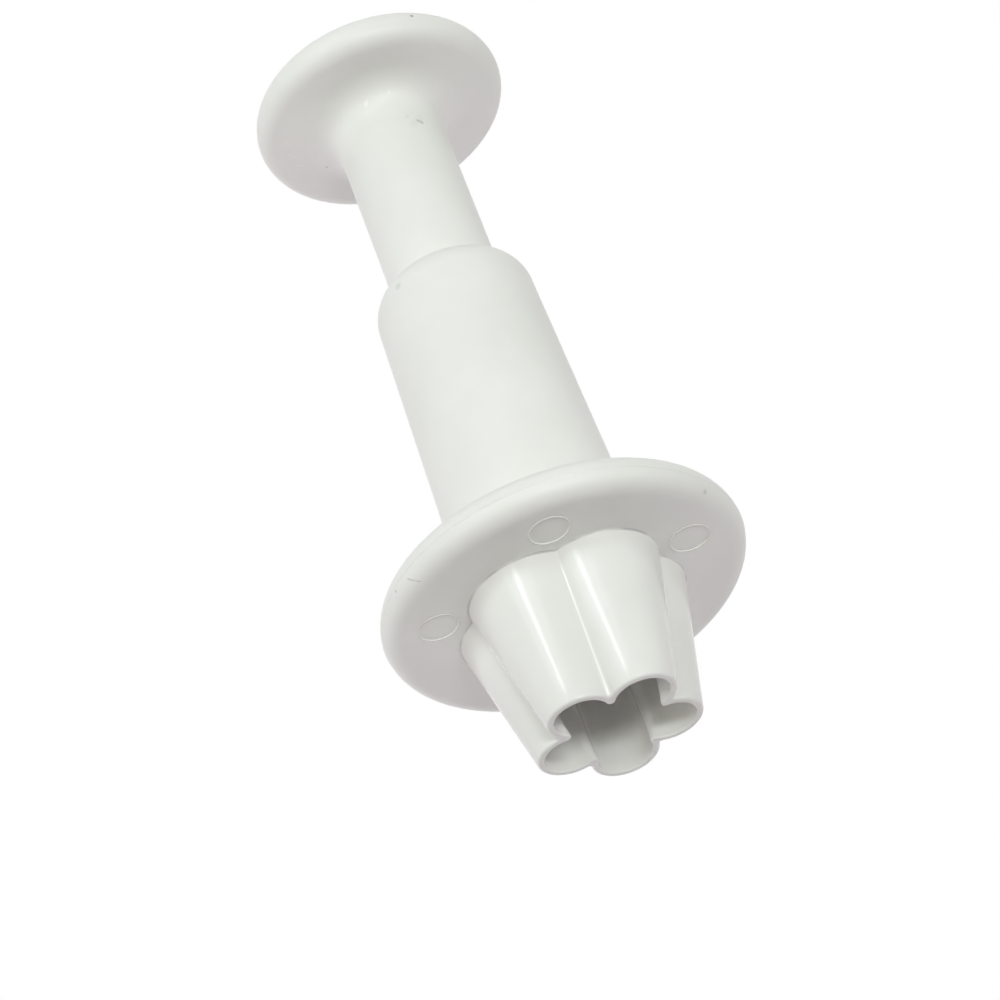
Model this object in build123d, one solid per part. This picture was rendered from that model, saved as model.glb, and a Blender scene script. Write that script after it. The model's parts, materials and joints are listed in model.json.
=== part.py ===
from build123d import *
import math
import os

# A spring-loaded plunger cutter for rolled paste. The five-petal cutter, the finger flange and
# the barrel are one moulding. A thumb plunger slides in the barrel, an ejector is snapped into
# its hollow stem, and a steel spring round the ejector's rod pushes both back up.
# Lengths are in millimetres and angles in degrees. The origin is the centre of the cutting
# edge's plane, +Z runs along the axis to the thumb knob, and one petal points along +Y.

# Cutter
petal_count = 5
flower_radius = 6.83  # axis to the tip of a petal of the cavity, which cuts a flower 13 mm across
petal_radius = 2.37
ridge_round = 0.4  # rounding of the ridges between the cavity's petals
edge_wall = 0.55  # wall of the cutting edge
root_radius = 5.7  # each petal's cone where it grows out of the flange
groove_round = 0.32  # rounding at the bottom of the grooves between the cones
cutter_height = 12.9  # cutting edge to the underside of the flange

# Flange
flange_radius = 16.0
flange_thickness = 3.6  # its rim is half round

# Marks that the mould's pins leave on the underside of the flange, one behind each groove
mark_circle_radius = 11.6
mark_radius = 1.7
mark_depth = 0.12
mark_lip_width = 0.14
mark_lip_height = 0.07

# Barrel
barrel_length = 32.7  # top of the flange to the crown of the shoulder
barrel_foot_radius = 7.95
barrel_draft = 1.45  # degrees a side
barrel_foot_bevel = 0.8
shoulder_round = 3.0

# Web across the inside, between the cavity and the bore
web_thickness = 2.5

# Plunger
stem_radius = 4.95
stem_end_height = 36.0  # lower end of the stem above the cutting edge, at rest
stem_end_bevel = 0.2
stem_exposed_length = 20.4  # crown of the barrel to the underside of the knob, at rest
stem_flare = 3.0  # fillet from the stem into the knob
knob_radius = 11.7
knob_thickness = 3.5  # its rim is half round
knob_face_thickness = 2.6  # plastic left between the stem's core and the thumb face
stem_core_radius = 2.9

# Ejector
face_recess = 11.0  # cutting edge to the ejector's face, at rest
rod_radius = 3.25
rod_engagement = 14.0  # length of the rod inside the stem
rod_end_bevel = 0.4
rod_core_radius = 1.8
rod_floor = 3.0  # solid rod left above the head, under the rod's core
bead_radius = 3.5  # crest of the snap bead on the rod, with 45 degree flanks
bead_height = 8.0  # snap bead above the stem's lower end

# Spring
wire_diameter = 0.5
coil_radius = 4.0  # axis to the middle of the wire
wire_sides = 6  # the thin wire is drawn as a hexagon
end_turn_rise = 1.0  # rise of the first and the last turn
active_turns = 5
steps_per_turn = 2

# Travel and clearances
plunger_travel = 11.4
stop_gap = 0.1  # left between the stem and its stop with the plunger pressed home
stop_ledge = 0.5  # width of the step in the bore that stops the stem
slide_gap = 0.1  # stem in bore and rod in web, on the radius
head_gap = 0.12  # ejector's head in the cavity, all round
seat_gap = 0.05  # ejector's head under the web, at rest
snap_gap = 0.05  # rod in the stem's socket, on the radius
spring_seat_gap = 0.02
cut_overrun = 1.0

# Heights above the cutting edge that follow from the sizes above
flange_top = cutter_height + flange_thickness
barrel_crown = flange_top + barrel_length
web_top = flange_top
web_bottom = web_top - web_thickness
knob_bottom = barrel_crown + stem_exposed_length
knob_top = knob_bottom + knob_thickness
stop_height = stem_end_height - plunger_travel - stop_gap
socket_end_height = stem_end_height + rod_engagement

# Radii that follow from the sizes above
petal_spread = flower_radius - petal_radius  # axis to the middle of each petal
bead_step = bead_radius - rod_radius
bore_radius = stem_radius + slide_gap
socket_radius = rod_radius + snap_gap
web_hole_radius = rod_radius + slide_gap
stop_radius = bore_radius - stop_ledge


def polar_point(radius, angle, height):
    """Point at a radius and an angle about the axis, at a height."""
    turn = math.radians(angle)
    return Vector(radius * math.cos(turn), radius * math.sin(turn), height)


def petal_angle(index):
    """Direction of a petal, or of a groove where the index is a half."""
    return 90 + index * 360 / petal_count


def flower_face(radius, ridge, height):
    """Flat face of the flower: one arc for each petal, joined over a rounded ridge."""
    half_step = math.radians(180 / petal_count)
    across = petal_spread * math.sin(half_step)
    reach = petal_spread * math.cos(half_step) + math.sqrt((radius + ridge) ** 2 - across**2)
    arcs = []
    for index in range(petal_count):
        middle = polar_point(petal_spread, petal_angle(index), height)
        next_middle = polar_point(petal_spread, petal_angle(index + 1), height)
        ridge_before = polar_point(reach, petal_angle(index - 0.5), height)
        ridge_after = polar_point(reach, petal_angle(index + 0.5), height)
        start = middle + (ridge_before - middle).normalized() * radius
        tip = polar_point(petal_spread + radius, petal_angle(index), height)
        end = middle + (ridge_after - middle).normalized() * radius
        crest = polar_point(reach - ridge, petal_angle(index + 0.5), height)
        next_start = next_middle + (ridge_after - next_middle).normalized() * radius
        arcs.append(ThreePointArc(start, tip, end))
        arcs.append(ThreePointArc(end, crest, next_start))
    return make_face(arcs)


def turned(profile):
    """Solid of revolution about the axis, from a profile drawn as radius against height."""
    return revolve(Plane.XZ * profile, Axis.Z)


def rounded(profile, corner, radius):
    """The profile with its corner nearest to a point rounded."""
    nearest = profile.vertices().sort_by_distance(corner)[0]
    return fillet(nearest, radius)


def bevelled(profile, corner, size):
    """The profile with its corner nearest to a point bevelled at 45 degrees."""
    nearest = profile.vertices().sort_by_distance(corner)[0]
    return chamfer(nearest, size)


def rod_between(radius, low, high):
    """Cylinder on the axis between two heights."""
    return Pos(0, 0, low) * Cylinder(radius, high - low, align=(Align.CENTER, Align.CENTER, Align.MIN))


def round_rim(radius, low, high):
    """Half-round rim of a disc in a turned profile, from its lower face to its upper one."""
    flat_radius = radius - (high - low) / 2
    return ThreePointArc((flat_radius, low), (radius, (low + high) / 2), (flat_radius, high))


def petal_cutter():
    """One cone for each petal, flaring from the thin cutting edge to the root, round a core."""
    cutter = rod_between(petal_spread, 0, cutter_height)
    upward = (Align.CENTER, Align.CENTER, Align.MIN)
    for index in range(petal_count):
        middle = polar_point(petal_spread, petal_angle(index), 0)
        cutter += Pos(middle) * Cone(petal_radius + edge_wall, root_radius, cutter_height, align=upward)
    grooves = [edge for edge in cutter.edges() if edge.bounding_box().size.Z > cutter_height / 2]
    return fillet(grooves, groove_round)


def flange_and_barrel():
    """Flange with its half-round rim, and the drafted barrel with its rounded shoulder."""
    crown_radius = barrel_foot_radius - barrel_length * math.tan(math.radians(barrel_draft))
    foot = (barrel_foot_radius, flange_top)
    crown = (crown_radius, barrel_crown)
    rim = round_rim(flange_radius, cutter_height, flange_top)
    outline = Polyline(rim @ 1, foot, crown, (0, barrel_crown), (0, cutter_height), rim @ 0)
    profile = make_face(rim + outline)
    profile = bevelled(profile, foot, barrel_foot_bevel)
    profile = rounded(profile, crown, shoulder_round)
    return turned(profile)


def pin_marks():
    """The raised lips and the shallow discs inside them, one of each behind every groove."""
    lips = []
    discs = []
    for index in range(petal_count):
        place = Pos(polar_point(mark_circle_radius, petal_angle(index + 0.5), cutter_height))
        upward = (Align.CENTER, Align.CENTER, Align.MIN)
        downward = (Align.CENTER, Align.CENTER, Align.MAX)
        lips.append(place * Cylinder(mark_radius + mark_lip_width, mark_lip_height, align=downward))
        discs.append(place * Cylinder(mark_radius, mark_depth, align=upward))
        discs.append(place * Cylinder(mark_radius, mark_lip_height, align=downward))
    return lips, discs


def build_cutter_body():
    """Cutter, flange and barrel in one, opened by the cavity, the web's hole and the bore."""
    lips, discs = pin_marks()
    body = flange_and_barrel() + petal_cutter() + lips - discs
    cavity = flower_face(petal_radius, ridge_round, -cut_overrun)
    body -= extrude(cavity, web_bottom + cut_overrun)
    body -= rod_between(web_hole_radius, web_bottom - cut_overrun, web_top + cut_overrun)
    body -= rod_between(stop_radius, web_top, stop_height)
    body -= rod_between(bore_radius, stop_height, barrel_crown + cut_overrun)
    return body


def bead_on(radius):
    """Snap bead standing out from a radius, for the rod, or for the groove when cut from a socket."""
    upward = (Align.CENTER, Align.CENTER, Align.MIN)
    downward = (Align.CENTER, Align.CENTER, Align.MAX)
    crest_radius = radius + bead_step
    lower = Cone(radius, crest_radius, bead_step, align=downward)
    upper = Cone(crest_radius, radius, bead_step, align=upward)
    return Pos(0, 0, stem_end_height + bead_height) * (lower + upper)


def build_plunger():
    """Thumb knob flaring into its hollow stem, with the socket and groove for the rod."""
    stem_low = (stem_radius, stem_end_height)
    neck = (stem_radius, knob_bottom)
    rim = round_rim(knob_radius, knob_bottom, knob_top)
    outline = Polyline(rim @ 1, (0, knob_top), (0, stem_end_height), stem_low, neck, rim @ 0)
    profile = make_face(rim + outline)
    profile = rounded(profile, neck, stem_flare)
    profile = bevelled(profile, stem_low, stem_end_bevel)
    plunger = turned(profile)
    plunger -= rod_between(socket_radius, stem_end_height, socket_end_height)
    plunger -= rod_between(stem_core_radius, stem_end_height, knob_top - knob_face_thickness)
    return plunger - bead_on(socket_radius)


def build_ejector():
    """Flower-shaped head on a hollow rod with a snap bead near its upper end."""
    face = flower_face(petal_radius - head_gap, ridge_round + head_gap, face_recess)
    head_top = web_bottom - seat_gap
    rod_top = socket_end_height - snap_gap
    head = extrude(face, head_top - face_recess)
    rod_low = (rod_radius, face_recess)
    rod_high = (rod_radius, rod_top)
    profile = make_face(Polyline((0, face_recess), rod_low, rod_high, (0, rod_top), close=True))
    profile = bevelled(profile, rod_high, rod_end_bevel)
    ejector = head + turned(profile) + bead_on(rod_radius)
    return ejector - rod_between(rod_core_radius, head_top + rod_floor, rod_top + cut_overrun)


def spring_height(turn, total_turns, low, high):
    """Height of the wire's middle after some turns: slow end turns, evenly spaced turns between."""
    active_rise = (high - low - 2 * end_turn_rise) / active_turns
    if turn < 1:
        return low + end_turn_rise * turn
    if turn > total_turns - 1:
        return high - end_turn_rise * (total_turns - turn)
    return low + end_turn_rise + active_rise * (turn - 1)


def spring_path():
    """Wire's route as pairs of arcs, with a short straight end at each seat."""
    total_turns = active_turns + 2
    low = web_top + spring_seat_gap + wire_diameter / 2
    high = stem_end_height - spring_seat_gap - wire_diameter / 2
    step_turns = 1 / steps_per_turn
    places = []
    headings = []
    for index in range(total_turns * steps_per_turn + 1):
        turn = index * step_turns
        before = max(turn - step_turns, 0)
        after = min(turn + step_turns, total_turns)
        climb = spring_height(after, total_turns, low, high) - spring_height(before, total_turns, low, high)
        if index in (0, total_turns * steps_per_turn):
            climb = 0
        around = 2 * math.pi * coil_radius * (after - before)
        angle = 360 * turn
        places.append(polar_point(coil_radius, angle, spring_height(turn, total_turns, low, high)))
        headings.append((polar_point(around, angle + 90, climb)).normalized())
    edges = [Line(places[0] - headings[0] * wire_diameter, places[0])]
    for index in range(len(places) - 1):
        edges += arc_pair(places[index], headings[index], places[index + 1], headings[index + 1])
    edges.append(Line(places[-1], places[-1] + headings[-1] * wire_diameter))
    return Wire(edges)


def arc_pair(start, start_heading, end, end_heading):
    """Two arcs that leave one point and reach another along given headings, and meet tangent."""
    chord = end - start
    turn_sum = start_heading + end_heading
    squared = 2 * (1 - start_heading.dot(end_heading))
    along = chord.dot(turn_sum)
    reach = (math.sqrt(along**2 + squared * chord.dot(chord)) - along) / squared
    first_corner = start + start_heading * reach
    second_corner = end - end_heading * reach
    middle = (first_corner + second_corner) * 0.5
    middle_heading = (second_corner - first_corner).normalized()
    first = TangentArc(start, middle, tangent=start_heading)
    second = TangentArc(middle, end, tangent=middle_heading)
    return [first, second]


def least_turn_gap(path):
    """Least clear distance between neighbouring turns of the wire, measured on points of its route."""
    total_turns = active_turns + 2
    samples_per_turn = 48
    count = total_turns * samples_per_turn
    points = [path.position_at(index / count) for index in range(count + 1)]
    least = None
    for index, point in enumerate(points):
        for other in points[index + samples_per_turn // 2 :]:
            gap = (other - point).length - wire_diameter
            if least is None or gap < least:
                least = gap
    return least


def build_spring():
    """Round wire wound into a compression spring between the web and the stem's end."""
    path = spring_path()
    print(f"least gap between the spring's turns: {least_turn_gap(path):.3f} mm")
    section = Plane(origin=path @ 0, z_dir=path % 0) * RegularPolygon(wire_diameter / 2, wire_sides)
    return sweep(section, path=path)


def main():
    """Build each piece and write it to its own file."""
    os.makedirs("parts", exist_ok=True)
    pieces = {
        "cutter_body": build_cutter_body(),
        "plunger": build_plunger(),
        "ejector": build_ejector(),
        "spring": build_spring(),
    }
    for name, piece in pieces.items():
        export_step(piece, f"parts/{name}.step")
        print(f"{name}: {piece.volume:.1f} cubic mm")


main()
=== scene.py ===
"""Looks of a white plunger cutter for rolled paste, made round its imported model.

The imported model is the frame. It says where each piece lies, which body carries it and how far
the plunger travels. Each piece is modelled here in millimetres, in its place, and then brought
to metres: the moulded body, the thumb plunger, the ejector inside it and the return spring.
"""

import json
import logging
import math
from collections.abc import Callable
from dataclasses import dataclass
from enum import Enum

import bmesh
import bpy
from mathutils import Matrix, Quaternion, Vector

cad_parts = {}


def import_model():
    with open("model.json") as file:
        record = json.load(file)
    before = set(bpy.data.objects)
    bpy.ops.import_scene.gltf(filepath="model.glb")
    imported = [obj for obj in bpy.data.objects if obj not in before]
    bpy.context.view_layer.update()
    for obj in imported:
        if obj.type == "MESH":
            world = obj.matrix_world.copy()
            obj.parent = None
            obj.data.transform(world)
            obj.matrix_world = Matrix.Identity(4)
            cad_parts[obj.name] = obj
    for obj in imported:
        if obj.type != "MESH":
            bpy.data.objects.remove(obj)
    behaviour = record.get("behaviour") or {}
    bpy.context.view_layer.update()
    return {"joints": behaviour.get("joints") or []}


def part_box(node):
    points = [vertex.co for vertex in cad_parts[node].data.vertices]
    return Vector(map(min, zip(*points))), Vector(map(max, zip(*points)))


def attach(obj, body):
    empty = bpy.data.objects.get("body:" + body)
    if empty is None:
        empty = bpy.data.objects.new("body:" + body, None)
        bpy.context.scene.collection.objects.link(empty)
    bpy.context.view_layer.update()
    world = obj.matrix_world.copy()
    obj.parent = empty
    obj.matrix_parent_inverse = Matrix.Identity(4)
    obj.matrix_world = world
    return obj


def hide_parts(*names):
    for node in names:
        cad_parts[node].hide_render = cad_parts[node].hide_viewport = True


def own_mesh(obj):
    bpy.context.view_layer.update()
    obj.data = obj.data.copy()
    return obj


METRES_PER_MM = 0.001
MM_PER_METRE = 1000.0
PETALS = 5
PETAL_SPREAD = 4.46  # from the axis to the middle of each petal's arc, in millimetres
PETAL_STEPS = 44  # short lines in each petal's arc
BETWEEN_STEPS = 14  # short lines in each small arc between two petals
AROUND = PETALS * (PETAL_STEPS + BETWEEN_STEPS)
SAME_PLACE = 0.002  # points nearer than this, in millimetres, are one point
CRISP = 0.02  # a crisp edge in a material fades over this, in millimetres
SOLID = 0.4  # share of a blemish's width inside which it doesn't fade
SHARP = 1.0  # edges between faces at more than this angle, in radians, are sharp
SMOOTH_ANGLE = math.radians(32)
UP = (0.0, 0.0, 1.0)
ORIGIN = (0.0, 0.0, 0.0)

Pair = tuple[float, float]
Triple = tuple[float, float, float]
Tone = tuple[float, float, float, float]

log = logging.getLogger("plunger_cutter")


class Body(Enum):
    """The two bodies that the tool's pieces ride on."""

    CUTTER = "cutter"
    PLUNGER = "plunger"


class Slot(Enum):
    """Material slots of the record."""

    BODY = "body_plastic"
    PLUNGER = "plunger_plastic"
    EJECTOR = "ejector_plastic"
    SPRING = "spring_steel"


# Materials


@dataclass(frozen=True)
class Signal:
    """A socket's value on its way through a material. Sums and products add Math nodes."""

    graph: "Graph"
    socket: bpy.types.NodeSocket

    def __add__(self, other: "Signal | float") -> "Signal":
        """Sum."""
        return self.graph.maths("ADD", self, other)

    def __sub__(self, other: "Signal | float") -> "Signal":
        """Difference."""
        return self.graph.maths("SUBTRACT", self, other)

    def __rsub__(self, other: float) -> "Signal":
        """Difference with a number in front."""
        return self.graph.maths("SUBTRACT", other, self)

    def __mul__(self, other: "Signal | float") -> "Signal":
        """Product."""
        return self.graph.maths("MULTIPLY", self, other)

    __radd__ = __add__
    __rmul__ = __mul__

    def ramp(self, low: float, high: float) -> "Signal":
        """Smooth step of the value, from 0 at the low number to 1 at the high one."""
        inputs = {"Value": self, "From Min": low, "From Max": high}
        return self.graph.output("ShaderNodeMapRange", 0, inputs, interpolation_type="SMOOTHSTEP")


class Graph:
    """The node graph of a material or of the world."""

    def __init__(self, tree: bpy.types.NodeTree) -> None:
        """Empty a node tree, to fill it anew."""
        self.tree = tree
        tree.nodes.clear()

    def node(self, kind: str, inputs: dict | None = None, **settings: object) -> bpy.types.Node:
        """Add a node.

        Args:
            kind: The node's type.
            inputs: Values or signals for its sockets, by the socket's name or number.
            **settings: Its properties by name, which are set first.

        Returns:
            The new node.
        """
        made = self.tree.nodes.new(kind)
        for name, value in settings.items():
            setattr(made, name, value)
        for name, value in (inputs or {}).items():
            if isinstance(value, Signal):
                self.tree.links.new(value.socket, made.inputs[name])
            else:
                made.inputs[name].default_value = value
        return made

    def output(
        self, kind: str, socket: str | int, inputs: dict | None = None, **settings: object
    ) -> Signal:
        """Add a node and take one of its outputs, by the output's name or number."""
        return Signal(self, self.node(kind, inputs, **settings).outputs[socket])

    def maths(self, operation: str, first: Signal | float, second: Signal | float) -> Signal:
        """Add a Math node."""
        return self.output("ShaderNodeMath", 0, {0: first, 1: second}, operation=operation)

    def vector(self, operation: str, socket: str, *values: Signal | tuple) -> Signal:
        """Add a Vector Math node and take its Vector or its Value."""
        inputs = dict(enumerate(values))
        return self.output("ShaderNodeVectorMath", socket, inputs, operation=operation)

    def tint(self, share: Signal, first: Signal | Tone, second: Signal | Tone) -> Signal:
        """Mix two colours. The share is 0 for the first and 1 for the second."""
        return self.output("ShaderNodeMix", 2, {0: share, 6: first, 7: second}, data_type="RGBA")

    def blend(self, share: Signal, first: Signal, second: Signal) -> Signal:
        """Mix two shaders. The share is 0 for the first and 1 for the second."""
        return self.output("ShaderNodeMixShader", 0, {0: share, 1: first, 2: second})


class Surface(Graph):
    """The node graph of a material, with the signals that say where on the tool a place is.

    Attributes:
        place: Object coordinates, in metres.
        level: Height in millimetres.
        radius: Distance from the tool's axis in millimetres.
        turn: Angle round the axis in radians, from the middle of one groove.
    """

    def __init__(self, name: str) -> None:
        """Make a material with an empty graph.

        Args:
            name: The material's name.
        """
        self.material = bpy.data.materials.new(name)
        self.material.use_nodes = True
        super().__init__(self.material.node_tree)
        self.place = self.output("ShaderNodeTexCoord", "Object")
        parts = self.node("ShaderNodeSeparateXYZ", {0: self.place})
        across, along, up = (Signal(self, part) for part in parts.outputs)
        flat = self.vector("MULTIPLY", "Vector", self.place, (1.0, 1.0, 0.0))
        self.level = up * MM_PER_METRE
        self.radius = self.vector("LENGTH", "Value", flat) * MM_PER_METRE
        self.turn = self.maths("ARCTAN2", across, along * -1.0)

    def noise(self, grain: float, detail: float) -> Signal:
        """Noise of about 0.5, with patches of a size in millimetres and some finer layers."""
        inputs = {"Vector": self.place, "Scale": MM_PER_METRE / grain, "Detail": detail}
        return self.output("ShaderNodeTexNoise", "Fac", inputs)

    def finish(self, shader: Signal) -> bpy.types.Material:
        """Make a shader the material's surface, and give the material."""
        self.node("ShaderNodeOutputMaterial", {"Surface": shader})
        return self.material


def colour(red: float, green: float, blue: float) -> Tone:
    """Colour with its alpha, from linear red, green and blue."""
    return (red, green, blue, 1.0)


def round_the_tool(angle: float, radius: float, height: float) -> Vector:
    """Place in millimetres, from the angle in degrees, the radius and the height."""
    turn = math.radians(angle)
    return Vector((radius * math.cos(turn), radius * math.sin(turn), height))


DUST_TONE = colour(0.2, 0.19, 0.17)
SEAM_TONE = colour(0.3, 0.31, 0.3)
# Painted shade for the crease at the petals' root.
PAINTED_CREASE_SHADE = colour(0.33, 0.32, 0.31)
WHITE = colour(1.0, 1.0, 1.0)
# Pale tone for scuffs and for painted glints.
SCUFF_AND_GLINT_TONE = colour(0.95, 0.95, 0.94)


@dataclass(frozen=True)
class Blemish:
    """Speck of dust in the plastic, a fine scratch or scuff on it, or a painted glint.

    Attributes:
        start: Where it begins: angle in degrees, radius and height in millimetres.
        end: Where it ends, or None for a speck.
        width: Half its width in millimetres.
        depth: How strongly it shows, from 0 to 1.
        pale: Whether it is paler than the plastic, as a scuff or a painted glint.
    """

    start: Triple
    end: Triple | None = None
    width: float = 0.08
    depth: float = 0.5
    pale: bool = False

    def mask(self, surface: Surface) -> Signal:
        """Mask of the blemish.

        Args:
            surface: The material's graph.

        Returns:
            The mask, from 0 to the blemish's depth.
        """
        start = round_the_tool(*self.start) * METRES_PER_MM
        nearest = tuple(start)
        if self.end is not None:
            along = round_the_tool(*self.end) * METRES_PER_MM - start
            offset = surface.vector("SUBTRACT", "Vector", surface.place, tuple(start))
            share = surface.vector("DOT_PRODUCT", "Value", offset, tuple(along))
            share = share * (1 / along.length_squared)
            share = surface.maths("MINIMUM", surface.maths("MAXIMUM", share, 0.0), 1.0)
            nearest = surface.vector("MULTIPLY_ADD", "Vector", share, tuple(along), tuple(start))
        distance = surface.vector("DISTANCE", "Value", surface.place, nearest) * MM_PER_METRE
        return (1 - distance.ramp(self.width * SOLID, self.width)) * self.depth


@dataclass(frozen=True)
class BodyMarks:
    """Fine marks on the moulded body. Lengths are in millimetres, and widths are half widths.

    They are the parting line round the flange's rim, painted shade in the crease at the root of
    the petals, which spares the marks of the mould's pins, and a polished line in each groove
    with a painted highlight. A depth says how much of a mark shows, from 0 to 1. A pair of
    numbers after a grain is the noise under which the mark is absent and over which it is full.
    """

    parting_height: float = 14.58
    parting_width: float = 0.08
    parting_inner_radius: float = 15.0
    parting_inner_fade: float = 0.15
    parting_depth: float = 0.1
    parting_grain: float = 1.5
    parting_breaks: Pair = (0.42, 0.62)
    # The painted shade in the crease at the petals' root.
    root_height: float = 12.89
    root_width: float = 0.1
    root_depth: float = 0.6
    root_grain: float = 3.0
    root_patches: Pair = (0.2, 0.6)
    pin_mark_radius: float = 9.6
    pin_mark_width: float = 2.0
    pin_mark_fade: float = 0.1
    line_width: float = 0.09
    line_core: float = 0.027
    line_inner_radius: float = 4.9
    line_inner_fade: float = 0.05
    line_low: float = 0.3
    line_low_fade: float = 0.6
    line_high: float = 12.0
    line_high_fade: float = 1.2
    # How strongly the painted highlight shows on each polished line.
    line_highlight_depth: float = 0.9
    line_gloss: float = 0.14

    def from_groove(self, surface: Surface) -> Signal:
        """Distance from the nearest groove's middle plane, in millimetres."""
        return surface.maths("PINGPONG", surface.turn, math.pi / PETALS) * surface.radius

    def parting(self, surface: Surface) -> Signal:
        """Mask of the parting line.

        Args:
            surface: The material's graph.

        Returns:
            The mask.
        """
        height, width = self.parting_height, self.parting_width
        below = surface.level.ramp(height - width, height)
        above = 1 - surface.level.ramp(height, height + width)
        inner = self.parting_inner_radius
        outside = surface.radius.ramp(inner - self.parting_inner_fade, inner)
        shown = surface.noise(self.parting_grain, 3.0).ramp(*self.parting_breaks)
        return below * above * outside * shown * self.parting_depth

    def root(self, surface: Surface) -> Signal:
        """Mask of the painted shade in the crease at the petals' root.

        Args:
            surface: The material's graph.

        Returns:
            The mask.
        """
        high, fade = self.root_height, self.pin_mark_fade
        band = surface.level.ramp(high - 2 * self.root_width, high - self.root_width)
        band = band * (1 - surface.level.ramp(high - CRISP, high))
        outside = surface.radius.ramp(self.pin_mark_radius - fade, self.pin_mark_radius)
        beside = self.from_groove(surface).ramp(self.pin_mark_width, self.pin_mark_width + fade)
        patches = surface.noise(self.root_grain, 2.0).ramp(*self.root_patches)
        return band * (1 - outside * (1 - beside)) * patches * self.root_depth

    def lines(self, surface: Surface) -> Signal:
        """Mask of the polished lines, which also carry a painted highlight.

        Args:
            surface: The material's graph.

        Returns:
            The mask, from 0 to 1.
        """
        line = 1 - self.from_groove(surface).ramp(self.line_core, self.line_width)
        inner = self.line_inner_radius
        outside = surface.radius.ramp(inner - self.line_inner_fade, inner)
        begun = surface.level.ramp(self.line_low, self.line_low + self.line_low_fade)
        ended = surface.level.ramp(self.line_high - self.line_high_fade, self.line_high)
        return line * outside * begun * (1 - ended)


@dataclass(frozen=True)
class MouldedPlastic:
    """White moulded plastic with faint mottling, specks and a satin or a polished skin.

    Attributes:
        satin: Roughness of the satin skin.
        polished: Roughness of the polished skin.
        polished_below: Height in millimetres under which the skin is polished, or None.
        mottle: Shares of the base colour in its deep and its pale patches.
        wear: How far the roughness varies.
        relief: Strength of the skin's faint unevenness.
    """

    name: str
    shade: Tone = colour(0.84, 0.85, 0.815)
    satin: float = 0.42
    polished: float = 0.14
    polished_below: float | None = None
    blemishes: tuple[Blemish, ...] = ()
    marks: BodyMarks | None = None
    mottle: tuple[Triple, Triple] = ((0.975, 0.978, 0.97), (1.015, 1.012, 1.012))
    mottle_grain: float = 9.0
    mottle_contrast: Pair = (0.35, 0.7)
    speck_scale: float = 240.0
    speck_chance: Pair = (0.965, 0.98)
    speck_size: Pair = (0.012, 0.03)
    speck_depth: float = 0.4
    wear: float = 0.1
    wear_grain: float = 1.6
    relief: float = 0.05
    relief_distance: float = 0.0002
    relief_grain: float = 5.0
    fine_grain: float = 0.3
    fine_share: float = 0.35

    def build(self) -> bpy.types.Material:
        """Make the material.

        Returns:
            The finished material.
        """
        surface = Surface(self.name)
        inputs = {
            "Base Color": self.pigment(surface),
            "Roughness": self.skin(surface),
            "IOR": 1.49,
            "Normal": self.unevenness(surface),
        }
        return surface.finish(surface.output("ShaderNodeBsdfPrincipled", "BSDF", inputs))

    def pigment(self, surface: Surface) -> Signal:
        """Base colour, faintly mottled, with the marks, the painted shade and highlights, and the
        specks.

        Args:
            surface: The material's graph.

        Returns:
            The colour.
        """
        deep, pale = (
            colour(*(part * share for part, share in zip(self.shade, shares)))
            for shares in self.mottle
        )
        patches = surface.noise(self.mottle_grain, 3.0).ramp(*self.mottle_contrast)
        tone = surface.tint(patches, deep, pale)
        if self.marks is not None:
            tone = surface.tint(self.marks.parting(surface), tone, SEAM_TONE)
            # Painted shade in the crease at the petals' root, broken into patches.
            tone = surface.tint(self.marks.root(surface), tone, PAINTED_CREASE_SHADE)
            # Painted highlight, white, along the polished line in each groove.
            line = self.marks.lines(surface) * self.marks.line_highlight_depth
            tone = surface.tint(line, tone, WHITE)
        dark = self.scattered_specks(surface)
        for blemish in self.blemishes:
            mask = blemish.mask(surface)
            # Pale blemishes are scuffs, or painted glints on the knob's flare.
            if blemish.pale:
                tone = surface.tint(mask, tone, SCUFF_AND_GLINT_TONE)
            else:
                dark = surface.maths("MAXIMUM", dark, mask)
        return surface.tint(dark, tone, DUST_TONE)

    def scattered_specks(self, surface: Surface) -> Signal:
        """Sparse specks of dust in the plastic: the middles of a few cells of a pattern.

        Args:
            surface: The material's graph.

        Returns:
            Their mask, from 0 to 1.
        """
        inputs = {"Vector": surface.place, "Scale": self.speck_scale}
        cells = surface.node("ShaderNodeTexVoronoi", inputs, feature="F1")
        cell_tone = {0: Signal(surface, cells.outputs["Color"])}
        chance = surface.output("ShaderNodeSeparateColor", "Red", cell_tone)
        dot = 1 - Signal(surface, cells.outputs["Distance"]).ramp(*self.speck_size)
        return dot * chance.ramp(*self.speck_chance) * self.speck_depth

    def skin(self, surface: Surface) -> Signal:
        """Roughness of the skin.

        Args:
            surface: The material's graph.

        Returns:
            The roughness.
        """
        base = self.satin - self.wear / 2
        if self.polished_below is not None:
            above = surface.level.ramp(self.polished_below - CRISP, self.polished_below)
            base = self.polished - self.wear / 2 + above * (self.satin - self.polished)
        if self.marks is not None:
            base = base - self.marks.lines(surface) * self.marks.line_gloss
        return base + surface.noise(self.wear_grain, 4.0) * self.wear

    def unevenness(self, surface: Surface) -> Signal:
        """Bumped normal of the skin.

        Args:
            surface: The material's graph.

        Returns:
            The normal.
        """
        fine = surface.noise(self.fine_grain, 3.0) * self.fine_share
        height = fine + surface.noise(self.relief_grain, 2.0)
        inputs = {"Strength": self.relief, "Distance": self.relief_distance, "Height": height}
        return surface.output("ShaderNodeBump", "Normal", inputs)


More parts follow.
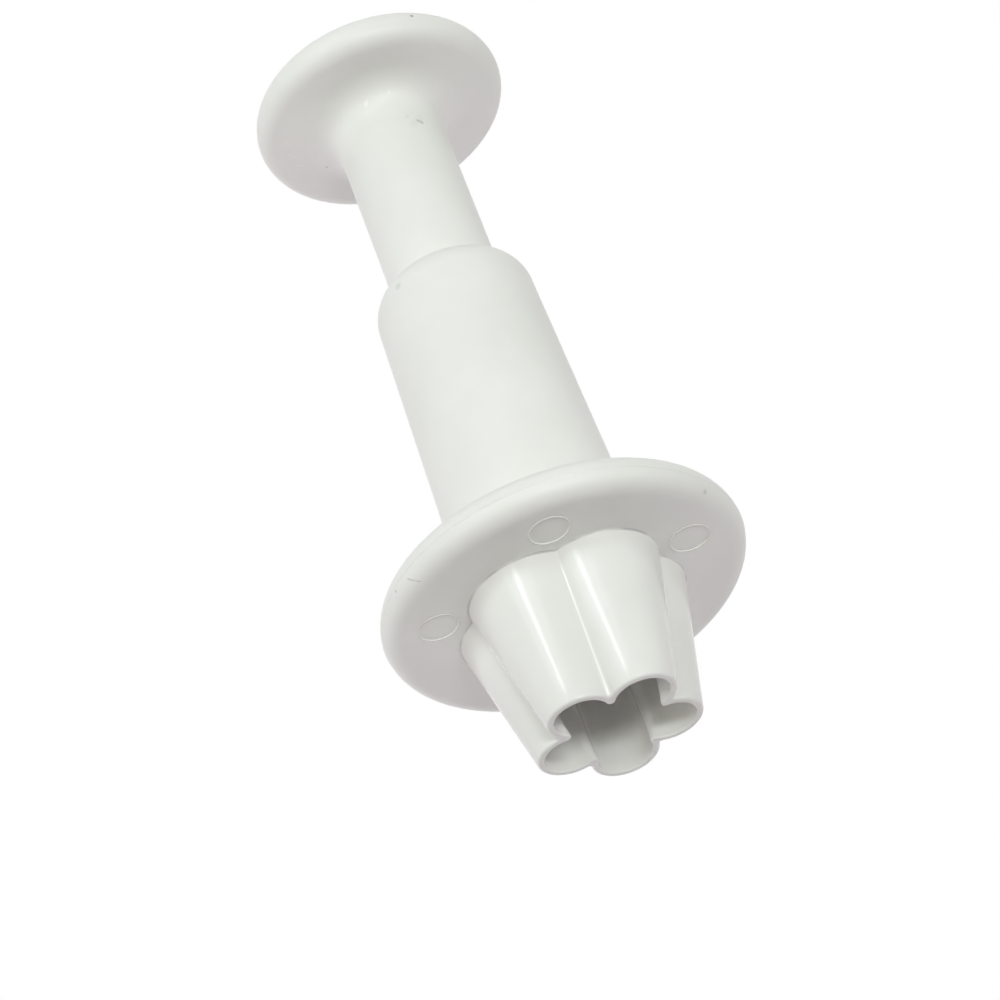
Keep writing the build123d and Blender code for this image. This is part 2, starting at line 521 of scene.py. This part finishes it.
@dataclass(frozen=True)
class DrawnWire:
    """Drawn steel wire with fine marks, which are duller and rougher in places."""

    name: str
    shade: Tone = colour(0.55, 0.55, 0.54)
    dull_shade: Tone = colour(0.48, 0.48, 0.47)
    grain: float = 0.4
    contrast: Pair = (0.3, 0.7)
    smoothest: float = 0.2
    wear: float = 0.2

    def build(self) -> bpy.types.Material:
        """Make the material.

        Returns:
            The finished material.
        """
        surface = Surface(self.name)
        marks = surface.noise(self.grain, 3.0)
        inputs = {
            "Base Color": surface.tint(marks.ramp(*self.contrast), self.dull_shade, self.shade),
            "Metallic": 1.0,
            "Roughness": marks * self.wear + self.smoothest,
        }
        return surface.finish(surface.output("ShaderNodeBsdfPrincipled", "BSDF", inputs))


# Modelling


def pick(piece: bpy.types.Object) -> None:
    """Make one piece the active one, and the only one that is selected.

    Args:
        piece: The piece.
    """
    bpy.ops.object.select_all(action="DESELECT")
    piece.select_set(True)
    bpy.context.view_layer.objects.active = piece


def quarter(radius: float, share: float) -> Pair:
    """Height over the flat face, and inset from the wall, a share of the way round an edge."""
    turn = math.pi / 2 * share
    return radius * (1 - math.cos(turn)), radius * (1 - math.sin(turn))


class Bench:
    """A mesh on the bench, open in edit mode and shaped with the modelling tools in millimetres."""

    def __init__(self, piece: bpy.types.Object) -> None:
        """Open a piece's mesh.

        Args:
            piece: The piece.
        """
        self.piece = piece
        pick(piece)
        bpy.ops.object.mode_set(mode="EDIT")
        bpy.ops.mesh.select_all(action="SELECT")

    @classmethod
    def empty(cls, name: str) -> "Bench":
        """Start a piece with an empty mesh.

        Args:
            name: The piece's name.

        Returns:
            The bench with the piece on it.
        """
        bpy.ops.mesh.primitive_plane_add(size=1.0, location=ORIGIN)
        piece = bpy.context.active_object
        piece.name = piece.data.name = name
        bench = cls(piece)
        bpy.ops.mesh.delete(type="VERT")
        return bench

    def select_none(self, kind: str) -> None:
        """Select nothing, with VERT or EDGE as the kind of element that is selected next."""
        bpy.ops.mesh.select_all(action="DESELECT")
        bpy.ops.mesh.select_mode(type=kind)

    def pen_down(self, point: Triple) -> None:
        """Start a new line at a point.

        Args:
            point: Where it starts.
        """
        self.select_none("VERT")
        bpy.ops.mesh.primitive_plane_add(size=0.1, location=point)
        bpy.ops.mesh.merge(type="CENTER")

    def line_by(self, step: Triple) -> None:
        """Draw the line on by a straight step from its end."""
        bpy.ops.mesh.extrude_region_move(TRANSFORM_OT_translate={"value": step})

    def arc(self, centre: tuple, axis: tuple, turn: float, steps: int) -> None:
        """Draw the line on by an arc. Its angle is in degrees, by the right hand rule."""
        bpy.ops.mesh.spin(steps=steps, angle=-math.radians(turn), center=centre, axis=axis)

    def select_loose(self) -> None:
        """Select the lines that carry no face yet."""
        self.select_none("EDGE")
        bpy.ops.mesh.select_loose()

    def select_edges(self, height: float, wanted: Callable[[bmesh.types.BMEdge], bool]) -> None:
        """Select the edges that lie at a height and pass a test, and nothing else.

        Args:
            height: The height.
            wanted: The test.
        """
        self.select_none("EDGE")
        mesh = bmesh.from_edit_mesh(self.piece.data)
        for edge in mesh.edges:
            level = all(abs(end.co.z - height) < SAME_PLACE for end in edge.verts)
            if level and wanted(edge):
                edge.select_set(True)
        bmesh.update_edit_mesh(self.piece.data)

    def merge(self) -> None:
        """Merge the points of the whole mesh that lie in one place."""
        bpy.ops.mesh.select_all(action="SELECT")
        bpy.ops.mesh.remove_doubles(threshold=SAME_PLACE)

    def face_outwards(self) -> None:
        """Point the faces of the whole mesh outwards."""
        bpy.ops.mesh.select_all(action="SELECT")
        bpy.ops.mesh.normals_make_consistent(inside=False)

    def stack(self, levels: list[tuple[float, "Flower"]]) -> None:
        """Join flower outlines that lie one over another.

        Args:
            levels: Height and outline of each level.
        """
        for height, flower in levels:
            flower.draw_fifth(self, height)
        self.select_loose()
        bpy.ops.mesh.spin(steps=PETALS, dupli=True, angle=2 * math.pi, center=ORIGIN, axis=UP)
        self.merge()
        self.select_loose()
        bpy.ops.mesh.bridge_edge_loops()

    def close(self, *heights: float) -> None:
        """Close flat openings.

        Args:
            *heights: Their heights.
        """
        self.merge()
        for height in heights:
            self.select_edges(height, lambda edge: edge.is_boundary)
            bpy.ops.mesh.fill(use_beauty=True)

    def finish(self, material: bpy.types.Material) -> bpy.types.Object:
        """Face the shell outwards, bring it to metres, smooth it and take it off the bench.

        Args:
            material: What it is made of.

        Returns:
            The finished piece.
        """
        self.merge()
        self.face_outwards()
        bpy.ops.object.mode_set(mode="OBJECT")
        self.piece.scale = (METRES_PER_MM,) * 3
        bpy.ops.object.transform_apply(location=True, rotation=True, scale=True)
        bpy.ops.object.shade_smooth_by_angle(angle=SMOOTH_ANGLE)
        modifier = self.piece.modifiers.new("weighted", "WEIGHTED_NORMAL")
        modifier.keep_sharp = True
        bpy.ops.object.modifier_apply(modifier=modifier.name)
        self.piece.data.materials.append(material)
        return self.piece


@dataclass(frozen=True)
class Flower:
    """Outline of a flower: one arc for each petal, and a small arc between neighbours.

    Attributes:
        radius: Radius of the petals' arcs.
        between: Radius of the small arcs between them.
    """

    radius: float
    between: float

    def draw_fifth(self, bench: Bench, height: float) -> None:
        """Draw one petal and the small arc after it.

        Args:
            bench: The bench that holds the mesh.
            height: The height to draw at.
        """
        half = math.pi / PETALS
        across = PETAL_SPREAD * math.sin(half)
        reach = math.sqrt((self.radius + self.between) ** 2 - across**2)
        reach = PETAL_SPREAD * math.cos(half) + reach
        corner = Vector((reach * math.sin(half), reach * math.cos(half), height))
        middle = Vector((0.0, PETAL_SPREAD, height))
        away = corner - middle
        turn = math.atan2(away.x, away.y)
        start = middle + self.radius * Vector((-math.sin(turn), math.cos(turn), 0.0))
        bench.pen_down(tuple(start))
        bench.arc(tuple(middle), UP, -math.degrees(2 * turn), PETAL_STEPS)
        bench.arc(tuple(corner), UP, math.degrees(2 * (turn - half)), BETWEEN_STEPS)


@dataclass
class Profile:
    """Half section of a turned shape: a line, and the radius and height that it has come to.

    Attributes:
        axis: Where the shape's upright axis stands.
    """

    bench: Bench
    radius: float
    height: float
    axis: Pair = (0.0, 0.0)

    def __post_init__(self) -> None:
        """Start the line."""
        self.bench.pen_down((self.axis[0] + self.radius, self.axis[1], self.height))

    def lines(self, *ends: Pair, parts: int = 1) -> None:
        """Draw straight lines.

        Args:
            *ends: Radius and height of each line's end.
            parts: Number of equal parts that each line is drawn in.
        """
        for radius, height in ends:
            step = ((radius - self.radius) / parts, 0.0, (height - self.height) / parts)
            for _ in range(parts):
                self.bench.line_by(step)
            self.radius, self.height = radius, height

    def arc(self, radius: float, height: float, turn: float, steps: int) -> None:
        """Draw an arc.

        Args:
            radius: Radius of the arc's centre.
            height: Height of the centre.
            turn: Angle in degrees, positive from the outward side up.
            steps: Number of short lines.
        """
        centre = (self.axis[0] + radius, self.axis[1], height)
        self.bench.arc(centre, (0.0, -1.0, 0.0), turn, steps)
        offset = Vector((self.radius - radius, self.height - height))
        offset = Matrix.Rotation(math.radians(turn), 2) @ offset
        self.radius, self.height = radius + offset.x, height + offset.y

    def turn_round(self, steps: int) -> None:
        """Turn the section about its axis, with a number of faces all round."""
        self.bench.select_loose()
        bpy.ops.mesh.spin(steps=steps, angle=2 * math.pi, center=(*self.axis, 0.0), axis=UP)


# Pieces


@dataclass
class MouldedBody:
    """Five-petal cutter, finger flange and barrel, one moulding. Sizes are in millimetres."""

    flange_radius: float
    # The petals and the edge.
    petal_radius: float = 2.37
    edge_wall: float = 0.55
    edge_round: float = 0.27
    inner_edge_round: float = 0.16
    root_radius: float = 5.7
    root_fillet: float = 0.2
    round_steps: int = 5
    groove_round: float = 0.32
    root_groove_round: float = 0.3
    cutter_height: float = 12.9
    cutter_levels: int = 9
    # The ridges between the cavity's petals: height and radius, bluntest near the edge.
    ridge_round: float = 0.4
    ridges: tuple[Pair, ...] = (
        (0.25, 0.4),
        (1.0, 0.5125),
        (1.75, 0.625),
        (2.5, 0.7375),
        (3.25, 0.85),
        (6.5, 0.85),
        (9.0, 0.4),
    )
    # The flange.
    flange_thickness: float = 3.6
    lower_rim_steps: int = 16
    upper_rim_steps: int = 12
    parting_height: float = -0.12
    parting_width: float = 0.11
    parting_step: float = 0.03
    # The barrel and its bore.
    barrel_foot_radius: float = 7.95
    barrel_foot_fillet: float = 1.0
    foot_steps: int = 8
    barrel_length: float = 32.7
    barrel_draft: float = 1.45
    wall_steps: int = 6
    shoulder_round: float = 3.0
    shoulder_steps: int = 14
    bore_radius: float = 5.05
    bore_softening: float = 0.12
    stop_radius: float = 4.55
    stop_height: float = 24.5
    web_hole_radius: float = 3.35
    web_thickness: float = 2.5
    # The marks of the mould's pins.
    mark_circle_radius: float = 11.6
    mark_radius: float = 1.7
    mark_depth: float = 0.06
    mark_lip: float = 0.06
    mark_lip_steps: int = 8
    mark_steps: int = 72
    finish: MouldedPlastic = MouldedPlastic(
        "body_plastic_white",
        polished=0.2,
        polished_below=12.88,
        marks=BodyMarks(),
        blemishes=(
            Blemish((-32, 15.6, 13.57), width=0.3, depth=0.24),
            Blemish((-147, 15.93, 14.3), width=0.17, depth=0.38),
            Blemish((-139.8, 15.87, 14.0), (-137.3, 15.26, 13.3), 0.1, 0.36),
            Blemish((-127, 7.18, 46.5), width=0.45, depth=0.17),
        ),
    )

    @property
    def flange_top(self) -> float:
        """Height of the flange's upper face."""
        return self.cutter_height + self.flange_thickness

    @property
    def web_bottom(self) -> float:
        """Height of the web's underside, at the end of the cavity."""
        return self.flange_top - self.web_thickness

    def build(self) -> bpy.types.Object:
        """Model the body.

        Returns:
            The finished piece.
        """
        bench = Bench.empty("moulded_body")
        bench.stack(self.outer_levels())
        bench.stack(self.cavity_levels())
        bench.close(0.0)
        rim = self.flange_thickness / 2
        section = Profile(bench, self.flange_radius - self.parting_step - rim, self.cutter_height)
        self.draw_rim(section, rim)
        self.draw_barrel(section)
        section.turn_round(AROUND)
        self.draw_pin_marks(bench)
        bench.close(self.cutter_height, self.web_bottom)
        return bench.finish(self.finish.build())

    def wall(self, height: float, inset: float) -> Flower:
        """Outline of the petals' outer wall.

        Args:
            height: Height of the level.
            inset: How far the outline lies inside the wall there.

        Returns:
            The outline.
        """
        share = height / self.cutter_height
        edge_radius = self.petal_radius + self.edge_wall
        radius = edge_radius + share * (self.root_radius - edge_radius)
        groove = self.groove_round + share * (self.root_groove_round - self.groove_round)
        return Flower(radius - inset, groove + inset)

    def outer_levels(self) -> list[tuple[float, Flower]]:
        """Outer walls of the petals: the rounded edge, the flare and a fillet at the flange.

        Returns:
            Height and outline of each level.
        """
        shares = [step / self.round_steps for step in range(self.round_steps)]
        levels = [quarter(self.edge_round, share) for share in shares]
        rise = self.cutter_height - self.root_fillet - self.edge_round
        for level in range(self.cutter_levels + 1):
            levels.append((self.edge_round + level / self.cutter_levels * rise, 0.0))
        for share in shares:
            drop, outset = quarter(self.root_fillet, share)
            levels.append((self.cutter_height - drop, -outset))
        return [(height, self.wall(height, inset)) for height, inset in levels]

    def cavity_levels(self) -> list[tuple[float, Flower]]:
        """Walls of the flower-shaped cavity.

        Returns:
            Height and outline of each level.
        """
        levels = []
        for step in range(self.round_steps):
            height, inset = quarter(self.inner_edge_round, step / self.round_steps)
            levels.append((height, Flower(self.petal_radius + inset, self.ridge_round - inset)))
        for height, between in (*self.ridges, (self.web_bottom, self.ridge_round)):
            levels.append((height, Flower(self.petal_radius, between)))
        return levels

    def draw_rim(self, section: Profile, rim: float) -> None:
        """Round rim of the flange, with a low ridge along its parting line.

        Args:
            section: The section, at the rim's lower end.
            rim: The rim's radius.
        """
        radius, height = section.radius, section.height + rim
        ridge = math.degrees(math.asin(self.parting_height / rim))
        half = math.degrees(self.parting_width / 2 / rim)
        section.arc(radius, height, 90 + ridge - half, self.lower_rim_steps)
        for reach, angle in ((rim + self.parting_step, ridge), (rim, ridge + half)):
            turn = math.radians(angle)
            section.lines((radius + reach * math.cos(turn), height + reach * math.sin(turn)))
        section.arc(radius, height, 90 - ridge - half, self.upper_rim_steps)

    def draw_barrel(self, section: Profile) -> None:
        """Top of the flange, the barrel and its bore with the stop, down to the web.

        Args:
            section: The section, at the rim's upper end.
        """
        draft = math.radians(self.barrel_draft)
        fillet, shoulder = self.barrel_foot_fillet, self.shoulder_round
        foot = self.barrel_foot_radius + fillet * (1 - math.sin(draft)) / math.cos(draft)
        section.lines((foot, self.flange_top))
        section.arc(foot, self.flange_top + fillet, self.barrel_draft - 90, self.foot_steps)
        radius = self.barrel_foot_radius - self.barrel_length * math.tan(draft)
        radius = radius + shoulder * math.tan(draft) - shoulder / math.cos(draft)
        height = self.flange_top + self.barrel_length - shoulder
        wall_end = (radius + shoulder * math.cos(draft), height + shoulder * math.sin(draft))
        section.lines(wall_end, parts=self.wall_steps)
        lip = self.bore_radius + self.bore_softening
        turn = math.degrees(math.acos((lip - radius) / shoulder)) - self.barrel_draft
        section.arc(radius, height, turn, self.shoulder_steps)
        section.lines(
            (self.bore_radius, section.height - self.bore_softening),
            (self.bore_radius, self.stop_height),
            (self.stop_radius, self.stop_height),
            (self.stop_radius, self.flange_top),
            (self.web_hole_radius, self.flange_top),
            (self.web_hole_radius, self.web_bottom),
        )

    def draw_pin_marks(self, bench: Bench) -> None:
        """Marks of the mould's pins: a thin raised lip round a shallow disc, behind each groove.

        Args:
            bench: The bench that holds the mesh.
        """
        lip, face = self.mark_radius + self.mark_lip, self.cutter_height + self.mark_depth
        for index in range(PETALS):
            angle = 90 + (index + 0.5) * 360 / PETALS
            axis = round_the_tool(angle, self.mark_circle_radius, 0.0)[:2]
            mark = Profile(bench, lip + self.mark_lip, self.cutter_height, axis)
            mark.arc(lip, self.cutter_height, -180, self.mark_lip_steps)
            mark.lines((self.mark_radius, face), (0.0, face))
            mark.turn_round(self.mark_steps)


@dataclass
class ThumbPlunger:
    """Thumb knob and hollow stem, one moulding. Sizes are in millimetres.

    Attributes:
        low: Height of the stem's lower end.
        high: Height of the thumb face.
        knob_radius: Radius of the knob.
    """

    low: float
    high: float
    knob_radius: float
    knob_thickness: float = 3.5
    knob_steps: int = 28
    stem_radius: float = 4.95
    stem_steps: int = 6
    stem_flare: float = 3.0
    flare_steps: int = 18
    end_softening: float = 0.2
    end_steps: int = 4
    core_radius: float = 2.9
    face_thickness: float = 2.6
    socket_radius: float = 3.3
    socket_depth: float = 14.0
    groove_height: float = 8.0
    groove_step: float = 0.25
    around: int = 256
    finish: MouldedPlastic = MouldedPlastic(
        "plunger_plastic_white",
        blemishes=(
            Blemish((-63, 11.66, 71.65), width=0.24, depth=0.65),
            Blemish((-56.5, 4.95, 65.1), (-52.5, 4.95, 64.9), 0.24, 0.34),
            Blemish((-64, 4.95, 64.6), (-52, 4.95, 65.6), 0.5, 0.05),
            Blemish((156, 6.94, 69.4), width=0.16, depth=0.4),
            Blemish((-67, 4.95, 65.6), width=0.24, depth=0.1),
            # Painted glints on the flare under the knob.
            Blemish((-103.5, 5.3, 67.9), (-100.5, 5.45, 68.35), 0.11, 0.9, pale=True),
            Blemish((-104.5, 5.35, 68.1), (-103, 5.4, 68.25), 0.09, 0.8, pale=True),
            Blemish((-79, 5.5, 68.3), (-77.5, 5.55, 68.45), 0.12, 0.8, pale=True),
            Blemish((-90, 5.5, 68.25), width=0.09, depth=0.6, pale=True),
            # Scuffs under the knob.
            Blemish((-166, 9.5, 69.6), (-171, 9.1, 69.6), 0.12, 0.3, pale=True),
            Blemish((-178, 9.3, 69.6), (178, 8.7, 69.6), 0.12, 0.35, pale=True),
            Blemish((172, 9.1, 69.6), (168, 8.6, 69.6), 0.14, 0.3, pale=True),
        ),
    )

    def build(self) -> bpy.types.Object:
        """Model the plunger.

        Returns:
            The finished piece.
        """
        bench = Bench.empty("thumb_plunger")
        core_top = self.high - self.face_thickness
        socket_top = self.low + self.socket_depth
        groove = self.low + self.groove_height
        end_radius = self.stem_radius - self.end_softening
        section = Profile(bench, 0.0, core_top)
        section.lines(
            (self.core_radius, core_top),
            (self.core_radius, socket_top),
            (self.socket_radius, socket_top),
            (self.socket_radius, groove + self.groove_step),
            (self.socket_radius + self.groove_step, groove),
            (self.socket_radius, groove - self.groove_step),
            (self.socket_radius, self.low),
            (end_radius, self.low),
        )
        section.arc(end_radius, self.low + self.end_softening, 90, self.end_steps)
        underside = self.high - self.knob_thickness
        flare_foot = underside - self.stem_flare
        section.lines((self.stem_radius, flare_foot), parts=self.stem_steps)
        section.arc(self.stem_radius + self.stem_flare, flare_foot, -90, self.flare_steps)
        rim = self.knob_thickness / 2
        section.lines((self.knob_radius - rim, underside))
        section.arc(self.knob_radius - rim, underside + rim, 180, self.knob_steps)
        section.lines((self.knob_radius / 2, self.high), (0.0, self.high))
        section.turn_round(self.around)
        return bench.finish(self.finish.build())


@dataclass
class PasteEjector:
    """Flower-shaped head on a hollow rod, which pushes the cut flower out. Sizes in millimetres.

    Attributes:
        low: Height of the head's face.
        high: Height of the rod's upper end.
    """

    low: float
    high: float
    petal_radius: float = 2.25
    ridge_round: float = 0.52
    head_thickness: float = 2.95
    edge_softening: float = 0.1
    edge_steps: int = 4
    rod_radius: float = 3.25
    rod_floor: float = 3.0
    rod_core_radius: float = 1.8
    end_bevel: float = 0.4
    bead_height: float = 5.95
    bead_step: float = 0.25
    finish: MouldedPlastic = MouldedPlastic(
        "ejector_plastic_white", colour(0.82, 0.83, 0.795), 0.36
    )

    def build(self) -> bpy.types.Object:
        """Model the ejector.

        Returns:
            The finished piece.
        """
        bench = Bench.empty("paste_ejector")
        outline = Flower(self.petal_radius, self.ridge_round)
        head_top = self.low + self.head_thickness
        bench.stack([(self.low, outline), (head_top, outline)])
        bead = self.high - self.bead_height
        section = Profile(bench, self.rod_radius, head_top)
        section.lines(
            (self.rod_radius, bead - self.bead_step),
            (self.rod_radius + self.bead_step, bead),
            (self.rod_radius, bead + self.bead_step),
            (self.rod_radius, self.high - self.end_bevel),
            (self.rod_radius - self.end_bevel, self.high),
            (self.rod_core_radius, self.high),
            (self.rod_core_radius, head_top + self.rod_floor),
            (0.0, head_top + self.rod_floor),
        )
        section.turn_round(AROUND)
        bench.close(head_top)
        bench.select_edges(self.low, lambda edge: edge.is_boundary)
        bpy.ops.mesh.edge_face_add()
        bench.face_outwards()
        bench.select_edges(
            self.low, lambda edge: edge.is_manifold and edge.calc_face_angle() > SHARP
        )
        bpy.ops.mesh.bevel(offset=self.edge_softening, segments=self.edge_steps, affect="EDGES")
        return bench.finish(self.finish.build())


@dataclass
class ReturnSpring:
    """Steel compression spring with closed ends. Sizes are in millimetres.

    Attributes:
        low: Height of its lower seat.
        high: Height of its upper seat.
    """

    low: float
    high: float
    wire: float = 0.5
    wire_rounding: int = 4
    coil_radius: float = 4.0
    end_turn_rise: float = 1.0
    active_turns: int = 5
    points_per_turn: int = 48
    finish: DrawnWire = DrawnWire("drawn_spring_wire")

    def build(self) -> bpy.types.Object:
        """Wind the spring.

        Returns:
            The finished piece.
        """
        curve = bpy.data.curves.new("return_spring", "CURVE")
        curve.dimensions = "3D"
        curve.bevel_depth = self.wire / 2
        curve.bevel_resolution = self.wire_rounding
        curve.use_fill_caps = True
        line = curve.splines.new("POLY")
        line.points.add((self.active_turns + 2) * self.points_per_turn)
        pitch = (self.high - self.low - self.wire - 2 * self.end_turn_rise) / self.active_turns
        for index, point in enumerate(line.points):
            turn = index / self.points_per_turn
            ends = min(turn, 1) + max(turn - 1 - self.active_turns, 0)
            middle = min(max(turn - 1, 0), self.active_turns)
            height = self.low + self.wire / 2 + self.end_turn_rise * ends + pitch * middle
            point.co = (*round_the_tool(360 * turn, self.coil_radius, height), 1.0)
        piece = bpy.data.objects.new("return_spring", curve)
        bpy.context.scene.collection.objects.link(piece)
        pick(piece)
        bpy.ops.object.convert(target="MESH")
        return Bench(piece).finish(self.finish.build())


# Studio


def direction(azimuth: float, elevation: float) -> Vector:
    """Direction at an angle from -Y towards +X and an angle above level, both in degrees."""
    turn, rise = math.radians(azimuth), math.radians(elevation)
    flat = math.cos(rise)
    return Vector((math.sin(turn) * flat, -math.cos(turn) * flat, math.sin(rise)))


def put(data: bpy.types.ID, place: Vector, turn: Quaternion) -> bpy.types.Object:
    """Put a lamp or a camera into the scene.

    Args:
        data: Its light or camera data, whose name it takes.
        place: Where it goes, in metres.
        turn: How it is turned.

    Returns:
        The new object.
    """
    made = bpy.data.objects.new(data.name, data)
    bpy.context.scene.collection.objects.link(made)
    made.location = place
    made.rotation_mode = "QUATERNION"
    made.rotation_quaternion = turn
    return made


@dataclass(frozen=True)
class Lamp:
    """Soft rectangular lamp that faces the object.

    It hangs at an azimuth, from -Y towards +X, and at an elevation, both in degrees. Its size
    and distance are in metres and its power in watts. Polished plastic shows a mirrored lamp.
    """

    name: str
    azimuth: float
    elevation: float
    size: Pair
    power: float
    tone: Triple = (1.0, 1.0, 1.0)
    distance: float = 0.9
    mirrored: bool = False

    def hang(self, middle: Vector) -> None:
        """Hang the lamp.

        Args:
            middle: The point that it faces.
        """
        data = bpy.data.lights.new(self.name, "AREA")
        data.shape = "RECTANGLE"
        data.size, data.size_y = self.size
        data.energy = self.power
        data.color = self.tone
        away = direction(self.azimuth, self.elevation)
        lamp = put(data, middle + away * self.distance, away.to_track_quat("Z", "Y"))
        lamp.visible_glossy = self.mirrored


@dataclass
class Studio:
    """White floor, soft lamps all round and the white surround.

    Near the object the floor's tone keeps the object's shadow, and its glow makes it look white.
    Over the distances of its fade, in millimetres, it turns to plain white. Other lengths are in
    metres. The lamps face the middle, and the shade's tone comes from all round.
    """

    floor_size: float = 6.0
    floor_tone: Tone = colour(0.5, 0.5, 0.5)
    floor_glow: float = 0.78
    floor_fade: Pair = (200.0, 700.0)
    middle: Triple = (0.0, 0.0, 0.035)
    shade_tone: Tone = colour(0.2, 0.176, 0.182)
    lamps: tuple[Lamp, ...] = (
        Lamp("low_key_lamp", 14, -17, (0.35, 0.14), 2.72, (0.95, 1.0, 1.0), mirrored=True),
        Lamp("low_left_lamp", -35, -19, (0.6, 0.14), 1.15, (1.0, 0.98, 0.88), mirrored=True),
        Lamp("low_right_lamp", 50, -17, (0.6, 0.14), 0.91, (1.0, 0.95, 0.95), mirrored=True),
        Lamp("streak_lamp", -20, 11, (0.08, 0.25), 0.7, mirrored=True),
        Lamp("front_lamp", -18, 12, (0.7, 0.25), 1.25, (0.83, 1.0, 0.96), mirrored=True),
        Lamp("upper_front_lamp", 0, 38, (0.8, 0.4), 0.33, (0.73, 1.0, 0.65)),
        Lamp("steep_front_lamp", 0, 62, (0.8, 0.4), 0.9, (0.94, 0.85, 1.0)),
        Lamp("left_lamp", -95, 0, (0.9, 0.9), 3.18, (0.96, 0.96, 1.0)),
        Lamp("right_lamp", 95, 0, (0.9, 0.9), 1.1, (0.85, 1.0, 0.7)),
        Lamp("low_far_right_lamp", 105, -22, (0.7, 0.4), 0.62, (0.82, 0.7, 1.0)),
        Lamp("left_back_lamp", -145, 0, (0.9, 0.9), 2.04, (0.97, 0.95, 1.0)),
        Lamp("right_back_lamp", 145, 0, (0.9, 0.9), 1.2, (0.95, 0.93, 1.0)),
        Lamp("low_back_lamp", 180, -25, (0.9, 0.4), 2.3, (0.99, 0.92, 1.0)),
        Lamp("top_lamp", 0, 89, (1.2, 1.2), 0.7, (0.84, 0.9, 1.0), 1.2),
    )

    def build(self) -> None:
        """Set up the floor, the lamps and the surround."""
        self.lay_floor()
        for lamp in self.lamps:
            lamp.hang(Vector(self.middle))
        self.surround()

    def lay_floor(self) -> None:
        """White floor that only the camera sees, and only from above."""
        bpy.ops.mesh.primitive_plane_add(size=self.floor_size, location=ORIGIN)
        floor = bpy.context.active_object
        floor.name = "studio_floor"
        surface = Surface("studio_floor_white")
        lit = surface.output("ShaderNodeBsdfDiffuse", "BSDF", {"Color": self.floor_tone})
        glow = surface.output("ShaderNodeEmission", "Emission", {"Strength": self.floor_glow})
        near = surface.output("ShaderNodeAddShader", "Shader", {0: lit, 1: glow})
        far = surface.output("ShaderNodeEmission", "Emission", {"Strength": 1.0})
        ground = surface.blend(surface.radius.ramp(*self.floor_fade), near, far)
        seen = surface.output("ShaderNodeLightPath", "Is Camera Ray")
        behind = surface.output("ShaderNodeNewGeometry", "Backfacing")
        clear = surface.output("ShaderNodeBsdfTransparent", "BSDF")
        material = surface.finish(surface.blend(seen * (1 - behind), clear, ground))
        floor.data.materials.append(material)

    def surround(self) -> None:
        """White surround for what the camera sees, and a softer light from all round."""
        world = bpy.data.worlds.new("white_surround")
        bpy.context.scene.world = world
        world.use_nodes = True
        graph = Graph(world.node_tree)
        soft, white = (
            graph.output("ShaderNodeBackground", "Background", {"Color": tone})
            for tone in (self.shade_tone, WHITE)
        )
        seen, mirrored, through = (
            graph.output("ShaderNodeLightPath", f"Is {ray} Ray")
            for ray in ("Camera", "Glossy", "Transmission")
        )
        plain = graph.maths("MAXIMUM", graph.maths("MAXIMUM", seen, mirrored), through)
        graph.node("ShaderNodeOutputWorld", {"Surface": graph.blend(plain, soft, white)})


@dataclass(frozen=True)
class PhotoCamera:
    """Camera at the photograph's viewing angle, under the flange and looking up.

    It stands at a distance from its target, at an azimuth, from -Y towards +X, and an elevation.
    Angles are in degrees, lengths in metres and the lens in millimetres on a 36 mm sensor.
    """

    azimuth: float = -2.2
    elevation: float = -34.78
    roll: float = -20.83
    target: Triple = (-0.00241, 0.0, 0.02542)
    distance: float = 0.3111
    lens: float = 131.12

    def build(self) -> None:
        """Set up the scene's camera."""
        data = bpy.data.cameras.new("photo_camera")
        data.sensor_width = 36.0
        data.lens = self.lens
        data.clip_start, data.clip_end = 0.01, 20.0
        back = direction(self.azimuth, self.elevation)
        roll = Matrix.Rotation(math.radians(self.roll), 4, "Z").to_quaternion()
        turn = (-back).to_track_quat("-Z", "Y") @ roll
        bpy.context.scene.camera = put(data, Vector(self.target) + back * self.distance, turn)


# Assembly


def millimetres(node: str) -> tuple[Vector, Vector]:
    """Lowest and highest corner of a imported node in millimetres."""
    low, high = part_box(node)
    return low / METRES_PER_MM, high / METRES_PER_MM


def seat(piece: bpy.types.Object, node: str, body: Body) -> None:
    """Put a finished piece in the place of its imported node.

    Args:
        piece: The piece.
        node: The node that it stands for.
        body: The body that it rides on.
    """
    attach(piece, body.value)
    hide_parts(node)
    log.info("%s: %d faces, rides on %s", piece.name, len(piece.data.polygons), body.value)


def spring_keep(joints: list[dict]) -> float:
    """Share of its length that the spring keeps with the plunger pressed home.

    Args:
        joints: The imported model's joints.

    Returns:
        The share.
    """
    low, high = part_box("spring")
    travel = max(abs(value) for value in joints[0]["range_m"])
    return 1 - travel / (high.z - low.z)


def main() -> None:
    """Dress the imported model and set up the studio."""
    logging.basicConfig(level=logging.INFO, format="%(name)s: %(message)s")
    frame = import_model()
    _, high = millimetres("cutter_body")
    seat(MouldedBody(high.x).build(), "cutter_body", Body.CUTTER)
    low, high = millimetres("plunger")
    seat(ThumbPlunger(low.z, high.z, high.x).build(), "plunger", Body.PLUNGER)
    low, high = millimetres("ejector")
    seat(PasteEjector(low.z, high.z).build(), "ejector", Body.PLUNGER)
    low, high = millimetres("spring")
    spring = ReturnSpring(low.z, high.z).build()
    seat(spring, "spring", Body.CUTTER)
    keep = spring_keep(frame["joints"])
    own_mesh(spring)
    Studio().build()
    PhotoCamera().build()
    bpy.context.scene.view_settings.view_transform = "Standard"


if __name__ == "__main__":
    main()
